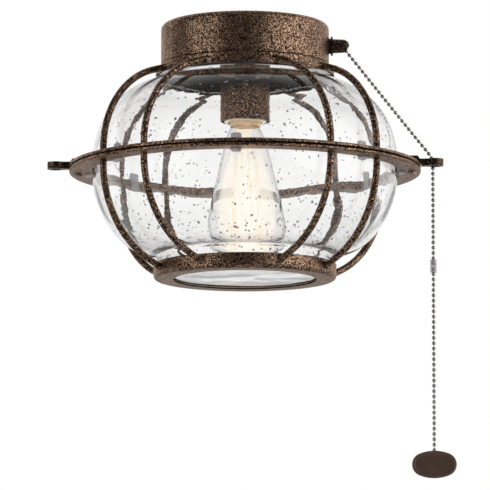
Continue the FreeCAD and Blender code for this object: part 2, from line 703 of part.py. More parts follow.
def main():
    os.makedirs("parts", exist_ok=True)
    single = (fitter_drum, pipe_nipple, pipe_nuts, lock_washers, cage_collar, bottom_band,
              ring_bumpers, ring_screws, glass_globe, globe_top_gasket, globe_bottom_gasket,
              socket_husk, socket_body, socket_shell, socket_contact,
              bulb_cap, bulb_insulator, bulb_tip, bulb_glass, bulb_stem, bulb_filament,
              switch_case, switch_cover, switch_bushing, bushing_nut, nozzle_washer, chain_nozzle,
              wheel_pin, pull_wheel, contact_cam, wire_nuts, lead_black, lead_switched, lead_white,
              chain_lead, swing_bead, chain_drop, chain_coupling, extension_chain, pull_fob)
    for make in single:
        save(make.__name__, make())
    save("upper_ring", ring_plate(RING_MID_Z, RING_TOP_Z))
    save("lower_ring", ring_plate(RING_BOTTOM_Z, RING_MID_Z))
    save("eyelet_right", eyelet(0))
    save("eyelet_left", eyelet(180))
    number = 0
    for angle in DIAGONALS:
        for side in (-RIB_SIDE, RIB_SIDE):
            number += 1
            save("upper_rib_%d" % number, upper_rib(angle, side))
            save("lower_rib_%d" % number, lower_rib(angle, side))


main()
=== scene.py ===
"""A ceiling fan's caged glass light with a pull chain: its looks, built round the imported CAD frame."""
import json
import math
import random

import bmesh
import bpy
from mathutils import Matrix, Vector, noise


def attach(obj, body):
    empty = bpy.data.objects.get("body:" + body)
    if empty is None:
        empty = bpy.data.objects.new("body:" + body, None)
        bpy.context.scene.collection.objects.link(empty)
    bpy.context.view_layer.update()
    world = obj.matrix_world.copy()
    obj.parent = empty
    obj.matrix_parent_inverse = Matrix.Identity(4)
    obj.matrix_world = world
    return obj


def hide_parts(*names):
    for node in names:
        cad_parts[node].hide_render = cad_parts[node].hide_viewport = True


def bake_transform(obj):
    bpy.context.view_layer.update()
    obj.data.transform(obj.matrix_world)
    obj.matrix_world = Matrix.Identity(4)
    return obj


MM = 0.001
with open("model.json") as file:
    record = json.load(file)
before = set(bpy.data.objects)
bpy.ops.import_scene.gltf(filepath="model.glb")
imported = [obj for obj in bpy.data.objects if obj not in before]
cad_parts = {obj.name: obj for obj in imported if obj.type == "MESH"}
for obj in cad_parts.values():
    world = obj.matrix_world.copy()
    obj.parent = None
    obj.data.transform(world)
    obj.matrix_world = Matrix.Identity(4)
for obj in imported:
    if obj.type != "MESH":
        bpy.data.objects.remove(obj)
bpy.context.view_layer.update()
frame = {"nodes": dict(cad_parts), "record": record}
nodes_of = frame["nodes"]
scene = bpy.context.scene

# ---------------------------------------------------------------- camera

AIM = Vector((0.0, 0.0, -0.1802))
CAMERA_TURN = math.radians(3.2)
CAMERA_AWAY = 4.1
CAMERA_Z = -0.7657
SENSOR_WIDTH = 36.0
LENS = 377.5

camera = bpy.data.objects.new("camera", bpy.data.cameras.new("camera"))
scene.collection.objects.link(camera)
camera.location = (CAMERA_AWAY * math.sin(CAMERA_TURN), -CAMERA_AWAY * math.cos(CAMERA_TURN), CAMERA_Z)
camera.rotation_euler = (AIM - camera.location).to_track_quat("-Z", "Y").to_euler()
camera.data.sensor_width = SENSOR_WIDTH
camera.data.lens = LENS
camera.data.clip_start = 0.1
camera.data.clip_end = 50.0
scene.camera = camera
scene.view_settings.view_transform = "Standard"


# ---------------------------------------------------------------- node helpers

class Nodes:
    """A material's or world's node tree, with short calls for what is used here."""

    def __init__(self, owner):
        owner.use_nodes = True
        self.tree = owner.node_tree
        self.tree.nodes.clear()

    def add(self, kind, values=(), **settings):
        """A new node. A value that is another node's socket is linked, any other is set."""
        node = self.tree.nodes.new("ShaderNode" + kind)
        for name, value in settings.items():
            setattr(node, name, value)
        for name, value in dict(values).items():
            if isinstance(value, bpy.types.NodeSocket):
                self.tree.links.new(value, node.inputs[name])
            else:
                node.inputs[name].default_value = value
        return node

    def math(self, operation, a, b=0.0, c=0.0):
        return self.add("Math", {0: a, 1: b, 2: c}, operation=operation).outputs[0]

    def smooth(self, value, none, full):
        """0 at none and before it, 1 at full and past it, smooth between."""
        node = self.add("MapRange", {"Value": value, "From Min": none, "From Max": full},
                        interpolation_type="SMOOTHSTEP")
        return node.outputs["Result"]

    def ramp(self, value, *stops):
        node = self.add("ValToRGB", {"Fac": value})
        points = node.color_ramp.elements
        while len(points) < len(stops):
            points.new(1.0)
        for point, (place, color) in zip(points, stops):
            point.position = place
            point.color = (*color, 1.0)
        return node.outputs["Color"]

    def noise(self, place, scale, detail=2.0, roughness=0.5, distortion=0.0):
        node = self.add("TexNoise", {"Vector": place, "Scale": scale, "Detail": detail,
                                     "Roughness": roughness, "Distortion": distortion})
        return node.outputs["Fac"]

    def bump(self, height, distance, strength=1.0):
        node = self.add("Bump", {"Height": height, "Distance": distance, "Strength": strength})
        return node.outputs["Normal"]

    def mix(self, share, first, second):
        return self.add("MixShader", {0: share, 1: first, 2: second}).outputs[0]

    def end(self, shader, kind="OutputMaterial"):
        self.add(kind, {"Surface": shader})


def material(name):
    """A new material, its nodes, and the place on the object, in metres."""
    made = bpy.data.materials.new(name)
    n = Nodes(made)
    return made, n, n.add("TexCoord").outputs["Object"]


def principled(n, **values):
    return n.add("BsdfPrincipled", {k.replace("_", " "): v for k, v in values.items()}).outputs["BSDF"]


def toned(color, gain):
    return tuple(c * gain for c in color)


# ---------------------------------------------------------------- materials

# Where painted shade darkens the coat (inside the fitting, on its window's edge, in the seam between the
# rings), each as (none, full), in metres: heights z and distances r from the axis.
INSIDE_FOOT_Z = (-0.0436, -0.0431)
INSIDE_ROOF_Z = (-0.0020, -0.0040)
INSIDE_WALL_R = (0.0669, 0.0667)
INSIDE_STEM_R = (0.0215, 0.0225)
CAP_LIP_R = (0.0720, 0.0718)
CAP_LIP_Z = (-0.0388, -0.0391)
WINDOW_R = (0.0576, 0.0575)
WINDOW_Z = (-0.2, -0.203)
SEAM_Z = -0.1186
SEAM_AWAY = (0.0009, 0.0005)
SEAM_R = (0.138, 0.139)

SPECKLE_SCALE = 1050.0
CLUSTER_SCALE = 150.0
VEIN, VEIN_EDGE = (0.006, 0.004, 0.004), (0.035, 0.022, 0.016)
COPPER_LOW, COPPER_HIGH = (0.32, 0.19, 0.12), (0.66, 0.43, 0.29)
SHADE_LOW, SHADE_HIGH = (0.005, 0.004, 0.003), (0.040, 0.026, 0.017)


def mottled_copper(name, gain, dark=0.0, seam=0.0, sparse=0.0):
    """Powder coat: copper speckle between fine, near-black, worm-like veins, with less copper the higher
    sparse is.
    By dark it takes a dull, near-black painted shade inside the fitting and on its window's edge, by seam a
    painted shade in the crevice between the rings."""
    made, n, place = material(name)
    fine = n.noise(place, SPECKLE_SCALE, 2.0, 0.5, 0.6)
    cluster = n.noise(place, CLUSTER_SCALE, 2.0)
    level = n.math("ADD", fine, n.math("MULTIPLY", n.math("SUBTRACT", cluster, 0.5), 0.14))
    color = n.ramp(level, (0.44 + sparse, VEIN), (0.49 + sparse, VEIN_EDGE),
                   (0.54 + sparse, toned(COPPER_LOW, gain)), (0.64 + sparse, toned(COPPER_HIGH, gain)))
    coat = principled(n, Base_Color=color, Roughness=n.math("MULTIPLY_ADD", fine, -0.30, 0.52),
                      Specular_IOR_Level=0.16, Specular_Tint=(0.85, 0.72, 0.62, 1.0),
                      Metallic=n.math("MULTIPLY", n.smooth(level, 0.46 + sparse, 0.54 + sparse), 0.9),
                      Normal=n.bump(fine, 0.0002, 0.5))
    at = n.add("SeparateXYZ", {0: place}).outputs
    radius = n.math("SQRT", n.math("ADD", n.math("MULTIPLY", at["X"], at["X"]),
                                   n.math("MULTIPLY", at["Y"], at["Y"])))
    inside = n.math("MULTIPLY", n.smooth(at["Z"], *INSIDE_FOOT_Z), n.smooth(at["Z"], *INSIDE_ROOF_Z))
    wall = n.math("MULTIPLY", n.smooth(radius, *INSIDE_WALL_R), n.smooth(radius, *INSIDE_STEM_R))
    lip = n.math("MULTIPLY", n.smooth(radius, *CAP_LIP_R), n.smooth(at["Z"], *CAP_LIP_Z))
    cap = n.math("MULTIPLY", inside, n.math("MAXIMUM", wall, lip))
    window = n.math("MULTIPLY", n.smooth(radius, *WINDOW_R), n.smooth(at["Z"], *WINDOW_Z))
    # Painted shade: inside the fitting and on the window's edge the coat gives way to a dull, near-black
    # diffuse.
    painted_shade = n.math("MULTIPLY", n.math("MAXIMUM", cap, window), dark)
    # Painted shade in the crevice along the seam between the two rings, by seam.
    off_seam = n.math("ABSOLUTE", n.math("SUBTRACT", at["Z"], SEAM_Z))
    crevice = n.math("MULTIPLY", n.smooth(off_seam, *SEAM_AWAY), n.smooth(radius, *SEAM_R))
    painted_shade = n.math("MAXIMUM", painted_shade, n.math("MULTIPLY", crevice, seam))
    # The painted shade's dull, near-black tones.
    shade_tone = n.ramp(level, (0.50, SHADE_LOW), (0.62, SHADE_HIGH))
    n.end(n.mix(painted_shade, coat, n.add("BsdfDiffuse", {"Color": shade_tone}).outputs[0]))
    return made


def satin_metal(name, color, rough, metallic):
    """Plain painted or plated metal with a fine, uneven surface."""
    made, n, place = material(name)
    fine = n.noise(place, 900.0, 3.0)
    broad = n.noise(place, 60.0, 2.0)
    share = n.math("MULTIPLY", n.math("ADD", fine, broad), 0.5)
    high = tuple(min(1.0, c) for c in toned(color, 1.25))
    tint = n.ramp(share, (0.3, toned(color, 0.72)), (0.7, high))
    roughness = n.math("MULTIPLY_ADD", broad, 0.12, rough - 0.06)
    n.end(principled(n, Base_Color=tint, Roughness=roughness, Metallic=metallic,
                     Normal=n.bump(fine, 0.00004)))
    return made


def clear(name, color, ior, rim, edge_at, gloss, shade=0.97, ripple=None):
    """Glass that lets light through to what is inside, darker by rim where seen edge on.
    ripple is the scale and height of its waves, and shade how much light gets past it."""
    made, n, place = material(name)
    facing = n.add("LayerWeight", {"Blend": 0.5}).outputs["Facing"]
    edge = n.smooth(facing, *edge_at)
    tint = n.add("Mix", {"Factor": edge, 6: (*color, 1.0), 7: (*toned(color, rim), 1.0)},
                 data_type="RGBA").outputs[2]
    extra = {}
    if ripple:
        scale, height = ripple
        extra["Normal"] = n.bump(n.noise(place, scale, 2.0, 0.45, 0.6), height)
    glass = principled(n, Base_Color=tint, Roughness=0.0, IOR=ior, Transmission_Weight=1.0,
                       Specular_IOR_Level=gloss, **extra)
    see = n.add("BsdfTransparent", {"Color": (shade, shade, shade, 1.0)}).outputs[0]
    path = n.add("LightPath").outputs
    passing = n.math("MAXIMUM", path["Is Shadow Ray"], path["Is Diffuse Ray"])
    n.end(n.mix(passing, glass, see))
    return made


def cloudy(name, color, share):
    """Soft, cloudy plastic: by share, what is behind shows through it."""
    made, n, place = material(name)
    broad = n.noise(place, 160.0, 2.0)
    tint = n.ramp(broad, (0.3, toned(color, 0.8)), (0.7, color))
    skin = principled(n, Base_Color=tint, Roughness=0.3, Normal=n.bump(broad, 0.0001))
    see = n.add("BsdfTransparent", {"Color": (0.86, 0.84, 0.86, 1.0)}).outputs[0]
    n.end(n.mix(share, skin, see))
    return made


def moulded(name, color, rough, coat=0.0):
    """Moulded plastic, rubber or glazed ceramic."""
    made, n, place = material(name)
    fine = n.noise(place, 700.0, 3.0)
    broad = n.noise(place, 40.0, 2.0)
    tint = n.ramp(broad, (0.3, toned(color, 0.85)), (0.7, color))
    n.end(principled(n, Base_Color=tint, Roughness=n.math("MULTIPLY_ADD", fine, 0.15, rough - 0.07),
                     Coat_Weight=coat, Normal=n.bump(fine, 0.00003)))
    return made


def lit_glass(name, color, power):
    """Thin glass close to the hot filament, pale and faintly lit."""
    made, n, place = material(name)
    streak = n.noise(place, 180.0, 2.0)
    strength = n.math("MULTIPLY_ADD", streak, power, power * 0.5)
    glow = n.add("Emission", {"Color": (1.0, 0.84, 0.60, 1.0), "Strength": strength}).outputs[0]
    see = n.add("BsdfTransparent", {"Color": (*color, 1.0)}).outputs[0]
    gloss = n.add("BsdfGlossy", {"Roughness": 0.1}).outputs[0]
    share = n.add("LayerWeight", {"Blend": 0.08}).outputs["Fresnel"]
    pane = n.mix(n.math("MULTIPLY", share, 0.3), see, gloss)
    n.end(n.add("AddShader", {0: pane, 1: glow}).outputs[0])
    return made


def lit_metal(name, color, power):
    """Plated metal that the filament lights from close by, uneven where its threads are rolled."""
    made, n, place = material(name)
    fine = n.noise(place, 500.0, 3.0)
    broad = n.noise(place, 110.0, 2.0)
    tint = n.ramp(broad, (0.3, toned(color, 0.7)), (0.7, color))
    height = n.add("SeparateXYZ", {0: place}).outputs["Z"]
    near = n.smooth(height, -0.072, -0.0835)
    n.end(principled(n, Base_Color=tint, Roughness=n.math("MULTIPLY_ADD", fine, 0.1, 0.25), Metallic=1.0,
                     Emission_Color=(1.0, 0.66, 0.36, 1.0),
                     Emission_Strength=n.math("MULTIPLY", near, power)))
    return made


def filament_glow():
    """Hot wire, whiter and brighter along the middle than at its ends."""
    made, n, place = material("glowing_filament")
    height = n.add("SeparateXYZ", {0: place}).outputs["Z"]
    hot = n.noise(place, 260.0, 2.0)
    middle = n.math("MULTIPLY", n.smooth(height, -0.182, -0.172), n.smooth(height, -0.100, -0.116))
    tint = n.ramp(n.math("MULTIPLY_ADD", hot, 0.5, n.math("MULTIPLY", middle, 0.6)),
                  (0.2, (1.0, 0.66, 0.36)), (0.8, (1.0, 0.84, 0.62)))
    power = n.math("MULTIPLY_ADD", middle, 0.15, 0.75)
    n.end(n.add("Emission", {"Color": tint, "Strength": power}).outputs[0])
    return made


def halo():
    """The bright haze round the filament: strong in a column up the middle, faint out to the glass. Both go by
    how squarely the shell is seen, so the column faces the viewer from any side."""
    made, n, place = material("lamp_halo")
    height = n.add("SeparateXYZ", {0: place}).outputs["Z"]
    fade = n.math("MULTIPLY", n.smooth(height, -0.196, -0.188), n.smooth(height, -0.096, -0.125))
    facing = n.add("LayerWeight", {"Blend": 0.5}).outputs["Facing"]
    column = n.math("MULTIPLY", n.smooth(facing, 0.22, 0.03), 0.40)
    haze = n.math("MULTIPLY", n.smooth(facing, 1.0, 0.35), 0.50)
    wisps = n.add("Mapping", {"Vector": place, "Scale": (1.0, 1.0, 0.06)}).outputs[0]
    shimmer = n.noise(wisps, 420.0, 2.0)
    share = n.math("MULTIPLY", fade, n.math("ADD", column, haze))
    tint = n.ramp(shimmer, (0.42, (1.0, 0.96, 0.89)), (0.66, (1.0, 0.87, 0.70)))
    see = n.add("BsdfTransparent").outputs[0]
    n.end(n.mix(share, see, n.add("Emission", {"Color": tint, "Strength": 1.18}).outputs[0]))
    return made


COPPER = mottled_copper("mottled_copper", 1.0, dark=1.0)
# ROD_COPPER and RING_COPPER are the drum's copper coat made lighter by gains 1.3 and 1.25: lit copies of one
# paint, painted light on the rods and rings.
ROD_COPPER = mottled_copper("mottled_copper_rod", 1.3, sparse=0.04)
RING_COPPER = mottled_copper("mottled_copper_ring", 1.25, seam=1.0, sparse=0.01)
EYE_COPPER = mottled_copper("mottled_copper_eye", 0.50, sparse=0.04)
HOOD_COPPER = mottled_copper("mottled_copper_hood", 0.40, sparse=0.01)
BRONZE = satin_metal("dark_bronze", (0.045, 0.026, 0.018), 0.42, 0.35)
BLACK_GLOSS = satin_metal("black_gloss", (0.012, 0.009, 0.008), 0.25, 0.3)
SCREW = satin_metal("screw_bronze", (0.46, 0.36, 0.29), 0.35, 0.8)
ZINC = satin_metal("zinc_steel", (0.55, 0.54, 0.50), 0.32, 1.0)
BRASS = satin_metal("brass", (0.70, 0.47, 0.20), 0.28, 1.0)
NICKEL = satin_metal("chain_nickel", (0.42, 0.39, 0.37), 0.14, 1.0)
FOB = satin_metal("fob_brown", (0.150, 0.088, 0.064), 0.45, 0.25)
GLOBE_GLASS = clear("seeded_glass", (0.978, 0.976, 0.973), 1.5, rim=0.42, edge_at=(0.70, 0.95), gloss=0.2,
                    ripple=(90.0, 0.00005))
LAMP_GLASS = clear("lamp_glass", (0.99, 0.985, 0.975), 1.45, rim=0.07, edge_at=(0.70, 0.84), gloss=0.3,
                   shade=0.99)
STEM_GLASS = lit_glass("lit_stem", (1.0, 0.97, 0.92), 0.05)
LIT_BRASS = lit_metal("lit_brass", (0.72, 0.56, 0.38), 0.20)
BUMPER = cloudy("clear_bumper", (0.80, 0.77, 0.79), 0.38)
COUPLING = cloudy("clear_coupling", (0.80, 0.78, 0.78), 0.6)
GASKET = moulded("soft_gasket", (0.70, 0.70, 0.68), 0.6)
PORCELAIN = moulded("porcelain", (0.82, 0.79, 0.73), 0.25, coat=0.3)
VITREOUS = moulded("lamp_insulator", (0.03, 0.03, 0.035), 0.15, coat=0.5)
PHENOLIC = moulded("switch_phenolic", (0.07, 0.04, 0.025), 0.35)
NYLON = moulded("switch_nylon", (0.75, 0.72, 0.66), 0.5)
CONNECTOR = moulded("connector_plastic", (0.72, 0.34, 0.06), 0.4)
WIRE_BLACK = moulded("lead_black", (0.02, 0.02, 0.02), 0.5)
WIRE_WHITE = moulded("lead_white", (0.82, 0.82, 0.80), 0.5)
FILAMENT = filament_glow()
HALO = halo()

BY_SLOT = {"mottled_copper": COPPER, "dark_bronze": BRONZE, "screw_bronze": SCREW,
           "black_washer": BLACK_GLOSS, "zinc_steel": ZINC, "seeded_glass": GLOBE_GLASS,
           "lamp_glass": LAMP_GLASS, "soft_gasket": GASKET, "clear_bumper": BUMPER,
           "clear_coupling": COUPLING, "porcelain": PORCELAIN, "brass": BRASS, "lamp_insulator": VITREOUS,
           "glowing_filament": FILAMENT, "switch_phenolic": PHENOLIC, "switch_nylon": NYLON,
           "connector_plastic": CONNECTOR, "lead_black": WIRE_BLACK, "lead_white": WIRE_WHITE,
           "chain_nickel": NICKEL, "fob_brown": FOB}
BY_NODE = {"eyelet_left": EYE_COPPER, "eyelet_right": EYE_COPPER, "chain_nozzle": HOOD_COPPER,
           "bulb_stem": STEM_GLASS, "bulb_cap": LIT_BRASS, "socket_shell": LIT_BRASS,
           "pipe_nuts": BRONZE, "lock_washers": BRONZE, "bushing_nut": BRONZE,
           "upper_ring": RING_COPPER, "lower_ring": RING_COPPER}
RODS_PER_HALF = 8
for rods in ("upper_rib_", "lower_rib_"):
    for number in range(1, RODS_PER_HALF + 1):
        BY_NODE[rods + str(number)] = ROD_COPPER

for part in frame["record"]["subparts"]:
    finish = BY_NODE.get(part["node"], BY_SLOT[part["material_slot"]])
    for slot in nodes_of[part["node"]].material_slots:
        slot.material = finish


# ---------------------------------------------------------------- mesh helpers

def make(name, points, faces, finish, body="root"):
    """A smooth-shaded piece that rides on a body. Without a body it is left to be blended between two."""
    mesh = bpy.data.meshes.new(name)
    mesh.from_pydata([tuple(p) for p in points], [], faces)
    mesh.validate()
    mesh.shade_smooth()
    mesh.materials.append(finish)
    piece = bpy.data.objects.new(name, mesh)
    scene.collection.objects.link(piece)
    if body:
        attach(piece, body)
    return piece


def ringed(faces, first, second, count):
    """Adds the faces between two rings of points that start at first and second."""
    for i in range(count):
        j = (i + 1) % count
        faces.append([first + i, first + j, second + j, second + i])


def lathe(profile, segments, shift=None, flip=False):
    """Points and faces of an outline (r, z) turned about Z. A radius of 0 makes a pole."""
    points, rows = [], []
    for r, z in profile:
        if r < 1e-9:
            rows.append([len(points)] * segments)
            points.append(Vector((0, 0, z)))
            continue
        rows.append(list(range(len(points), len(points) + segments)))
        for i in range(segments):
            turn = 2 * math.pi * i / segments
            points.append(Vector((r * math.cos(turn), r * math.sin(turn), z)))
    if shift:
        points = [shift(p) for p in points]
    faces = []
    for a, b in zip(rows, rows[1:]):
        for i in range(segments):
            j = (i + 1) % segments
            face = [a[i], b[i], b[j], a[j]]
            face = [v for k, v in enumerate(face) if v != face[k - 1]]
            if len(face) > 2:
                faces.append(face[::-1] if flip else face)
    return points, faces


def on_circle(centre, degrees, away):
    """The point (r, z) at a distance from a centre."""
    turn = math.radians(degrees)
    return (centre[0] + away * math.cos(turn), centre[1] + away * math.sin(turn))


def arc(centre, radius, start, end, step):
    """Points (r, z) along an arc, in degrees."""
    count = max(2, round(abs(end - start) * math.pi / 180 * radius / step))
    turns = [math.radians(start + (end - start) * i / count) for i in range(count + 1)]
    return [(centre[0] + radius * math.cos(t), centre[1] + radius * math.sin(t)) for t in turns]


def line(start, end, step):
    """Points (r, z) along a straight run."""
    count = max(1, round(math.dist(start, end) / step))
    return [(start[0] + (end[0] - start[0]) * i / count, start[1] + (end[1] - start[1]) * i / count)
            for i in range(count + 1)]


def joined(*runs):
    """Runs of points end to end, without doubles."""
    points = []
    for run in runs:
        for p in run:
            if not points or math.dist(p, points[-1]) > 1e-6:
                points.append(p)
    return points


def softened(points, passes):
    """The outline with its corners eased, both ends kept."""
    for _ in range(passes):
        points = ([points[0]] + [tuple((a[k] + 2 * b[k] + c[k]) / 4 for k in (0, 1))
                                 for a, b, c in zip(points, points[1:], points[2:])] + [points[-1]])
    return points


def clamped(value):
    return min(1.0, max(0.0, value))


# ---------------------------------------------------------------- bead chains

BEAD_R = 1.6 * MM
PITCH = 4.3 * MM
WIRE_R = 0.42 * MM
WIRE_HALF = 1.15 * MM
SHORTEST_WIRE = 0.2 * MM
HOLE_R = 0.50 * MM
BEAD_SEGMENTS, WIRE_SEGMENTS = 16, 8


def smooth_route(points):
    """Points read along the smooth line through a route."""
    data = bpy.data.curves.new("route", "CURVE")
    data.dimensions = "3D"
    data.resolution_u = 48
    spline = data.splines.new("NURBS")
    spline.points.add(len(points) - 1)
    for point, place in zip(spline.points, points):
        point.co = (*place, 1.0)
    spline.order_u = 3
    spline.use_endpoint_u = True
    holder = bpy.data.objects.new("route", data)
    mesh = bpy.data.meshes.new_from_object(holder)
    path = [v.co.copy() for v in mesh.vertices]
    bpy.data.meshes.remove(mesh)
    bpy.data.objects.remove(holder)
    bpy.data.curves.remove(data)
    return path


def along(path, distance):
    """The point and direction at a distance along a path."""
    for a, b in zip(path, path[1:]):
        step = (b - a).length
        if distance <= step:
            return a + (b - a) * (distance / step), (b - a).normalized()
        distance -= step
    return path[-1].copy(), (path[-1] - path[-2]).normalized()


def path_length(path):
    return sum((b - a).length for a, b in zip(path, path[1:]))


def bead_outline():
    """Half of a bead, from the hole at one end to the hole at the other, with turned-in lips."""
    turns = [math.radians(24 + 132 * i / 12) for i in range(13)]
    body = [(BEAD_R * math.sin(t), -BEAD_R * math.cos(t)) for t in turns]
    lip_z = BEAD_R * 0.80
    return [(HOLE_R, -lip_z)] + body + [(HOLE_R, lip_z)]


def chain_mesh(path, first):
    """Beads at one pitch along a path with wire between them. first is the first bead's distance."""
    points, faces = [], []
    outline = bead_outline()
    total = path_length(path)

    def put(profile, segments, place, direction):
        spin = direction.to_track_quat("Z", "Y").to_matrix()
        own, own_faces = lathe(profile, segments, flip=True)
        start = len(points)
        points.extend(spin @ p + place for p in own)
        faces.extend([[start + i for i in f] for f in own_faces])

    distance = first
    while distance <= total + 1e-6:
        put(outline, BEAD_SEGMENTS, *along(path, distance))
        distance += PITCH
    gap = first - PITCH / 2
    while gap <= total + 1e-6:
        if gap > 0:
            half = min(WIRE_HALF, max(gap, SHORTEST_WIRE), max(total - gap, SHORTEST_WIRE))
            put([(WIRE_R, -half), (WIRE_R * 0.85, 0), (WIRE_R, half)], WIRE_SEGMENTS, *along(path, gap))
        gap += PITCH
    return points, faces


def bead_chain(name, path, first, body="root"):
    points, faces = chain_mesh(path, first)
    return make(name, points, faces, NICKEL, body)


CHAIN_X = 0.1517
LEAD_ROUTE = [(0.0818, 0.0, -0.0221), (0.1399, 0.0, -0.0967), (0.1526, 0.0, -0.1116), (0.1517, 0.0, -0.1172)]
LEAD_LAST = 2.4 * MM
SWING_Z = -0.1191
SWING_HALF = 1.9 * MM
DROP_TOP = SWING_Z - SWING_HALF
DROP_FIRST = 2.4 * MM
DROP_END = -0.1981
PULL_TOP = -0.1993
PULL_FIRST = 1.5 * MM
FOB_TOP = -0.3476
FOB_FOOT = -0.3697


def at_eyelet(*heights):
    """Points straight below each other on the hanging chain's line."""
    return [Vector((CHAIN_X, 0, z)) for z in heights]


lead_path = smooth_route([Vector(p) for p in LEAD_ROUTE])
lead_first = (path_length(lead_path) - LEAD_LAST) % PITCH
slant = bead_chain("bead_chain_slant", lead_path, lead_first)
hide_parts("chain_lead")

swing = bead_chain("bead_at_eyelet", at_eyelet(SWING_Z + SWING_HALF, DROP_TOP), SWING_HALF, "swing_link")
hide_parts("swing_bead")

drop_path = at_eyelet(DROP_TOP, DROP_END)
drop = bead_chain("bead_chain_drop", drop_path, DROP_FIRST, None)
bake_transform(drop)
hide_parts("chain_drop")

pull_path = smooth_route(at_eyelet(PULL_TOP, -0.2400, -0.3000, FOB_TOP))
pull = bead_chain("bead_chain_pull", pull_path, PULL_FIRST, "pull_chain")
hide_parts("extension_chain")

# ---------------------------------------------------------------- fob

FOB_MID = (FOB_TOP + FOB_FOOT) / 2
FOB_HALF_W, FOB_HALF_H, FOB_HALF_T = 0.0179, 0.01105, 0.0025
FOB_END_R = 0.0094
FOB_END_SHARE = 0.52
FOB_COUNT = 112
FOB_FACE = 0.60
# From the sunk face over the rim to the edge: inset in mm, and share of the half thickness.
FOB_SECTION = [(3.6, 0.62), (3.0, 0.62), (2.55, 0.66), (2.25, 0.80), (1.95, 0.94), (1.6, 1.0), (1.15, 1.0),
               (0.75, 0.95), (0.38, 0.80), (0.12, 0.55), (0.0, 0.2)]


def fob_edge(inset):
    """Points round the oval of four tangent arcs, in from its edge."""
    end_x = FOB_HALF_W - FOB_END_R
    side_r = (end_x ** 2 + FOB_HALF_H ** 2 - FOB_END_R ** 2) / (2 * (FOB_HALF_H - FOB_END_R))
    side_z = side_r - FOB_HALF_H
    meet = math.atan2(side_z, end_x)
    points = []
    for i in range(FOB_COUNT):
        turn = 2 * math.pi * (i + 0.5) / FOB_COUNT
        fold_x, fold_z = (1 if math.cos(turn) > 0 else -1), (1 if math.sin(turn) > 0 else -1)
        share = math.atan2(abs(math.sin(turn)), abs(math.cos(turn))) / (math.pi / 2)
        if share < FOB_END_SHARE:
            angle = meet * share / FOB_END_SHARE
            x = end_x + (FOB_END_R - inset) * math.cos(angle)
            z = (FOB_END_R - inset) * math.sin(angle)
        else:
            angle = meet + (math.pi / 2 - meet) * (share - FOB_END_SHARE) / (1 - FOB_END_SHARE)
            x = (side_r - inset) * math.cos(angle)
            z = (side_r - inset) * math.sin(angle) - side_z
        points.append((fold_x * x, fold_z * z))
    return points


def pull_fob():
    """A cast oval with a rounded rim and a plain sunk face on both sides."""
    section = [(inset * MM, y * FOB_HALF_T) for inset, y in FOB_SECTION]
    section = section + [(inset, -y) for inset, y in section[::-1]]
    points, faces = [], []
    for inset, y in section:
        points.extend(Vector((CHAIN_X + x, y, FOB_MID + z)) for x, z in fob_edge(inset))
    for row in range(len(section) - 1):
        ringed(faces, row * FOB_COUNT, (row + 1) * FOB_COUNT, FOB_COUNT)
    for row, side in ((0, 1), (len(section) - 1, -1)):
        middle = len(points)
        points.append(Vector((CHAIN_X, side * FOB_FACE * FOB_HALF_T, FOB_MID)))
        for i in range(FOB_COUNT):
            a, b = row * FOB_COUNT + i, row * FOB_COUNT + (i + 1) % FOB_COUNT
            faces.append([a, middle, b] if side > 0 else [a, b, middle])
    return make("fob_cast", points, faces, FOB, "fob")


fob = pull_fob()
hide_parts("pull_fob")

# ---------------------------------------------------------------- globe

# The globe's four tangent arcs, top to bottom, in mm: radii, the wall's centre (r, z), and the angles in
# degrees where each arc meets the next.
SHOULDER_R, WALL_R, LOWER_R, HEEL_R = 60.3, 96.0, 78.7, 49.0
WALL_CENTRE = (27.8, -117.6)
WALL_TOP_DEG, WALL_FOOT_DEG, HEEL_TOP_DEG = 18.0, -10.0, -41.5
NECK_R, NECK_TOP, FLOOR_Z = 70.5, -41.2, -207.1
FLOOR_CORNER_R = 4.0
GLASS = 3.0
GLOBE_STEP = 2.0
GLOBE_SEGMENTS = 320


def globe_outline(inset):
    """The globe's outside, or its inside when inset, from the rim down to the floor's centre, in metres."""
    shoulder = on_circle(WALL_CENTRE, WALL_TOP_DEG, WALL_R - SHOULDER_R)
    lower = on_circle(WALL_CENTRE, WALL_FOOT_DEG, WALL_R - LOWER_R)
    heel = on_circle(lower, HEEL_TOP_DEG, LOWER_R - HEEL_R)
    neck = NECK_R - inset
    neck_deg = math.degrees(math.acos((neck - shoulder[0]) / (SHOULDER_R - inset)))
    foot_deg = -math.degrees(math.acos((neck - heel[0]) / (HEEL_R - inset)))
    corner = FLOOR_CORNER_R - inset
    floor = FLOOR_Z + inset
    runs = [line((neck, NECK_TOP), on_circle(shoulder, neck_deg, SHOULDER_R - inset), GLOBE_STEP)]
    arcs = ((shoulder, SHOULDER_R), (WALL_CENTRE, WALL_R), (lower, LOWER_R), (heel, HEEL_R))
    turns = (neck_deg, WALL_TOP_DEG, WALL_FOOT_DEG, HEEL_TOP_DEG, foot_deg)
    for (centre, radius), start, end in zip(arcs, turns, turns[1:]):
        runs.append(arc(centre, radius - inset, start, end, GLOBE_STEP))
    runs.append(line(on_circle(heel, foot_deg, HEEL_R - inset), (neck, floor + corner), GLOBE_STEP))
    runs.append(arc((neck - corner, floor + corner), corner, 0, -90, min(GLOBE_STEP, corner / 3)))
    wall_run = softened(joined(*runs), 5)
    floor_run = line(wall_run[-1], (0.0, floor), 4.0)
    return [(r * MM, z * MM) for r, z in joined(wall_run, floor_run)]


FLAT_R = 0.062
FLOOR_RIPPLE = 0.12 * MM


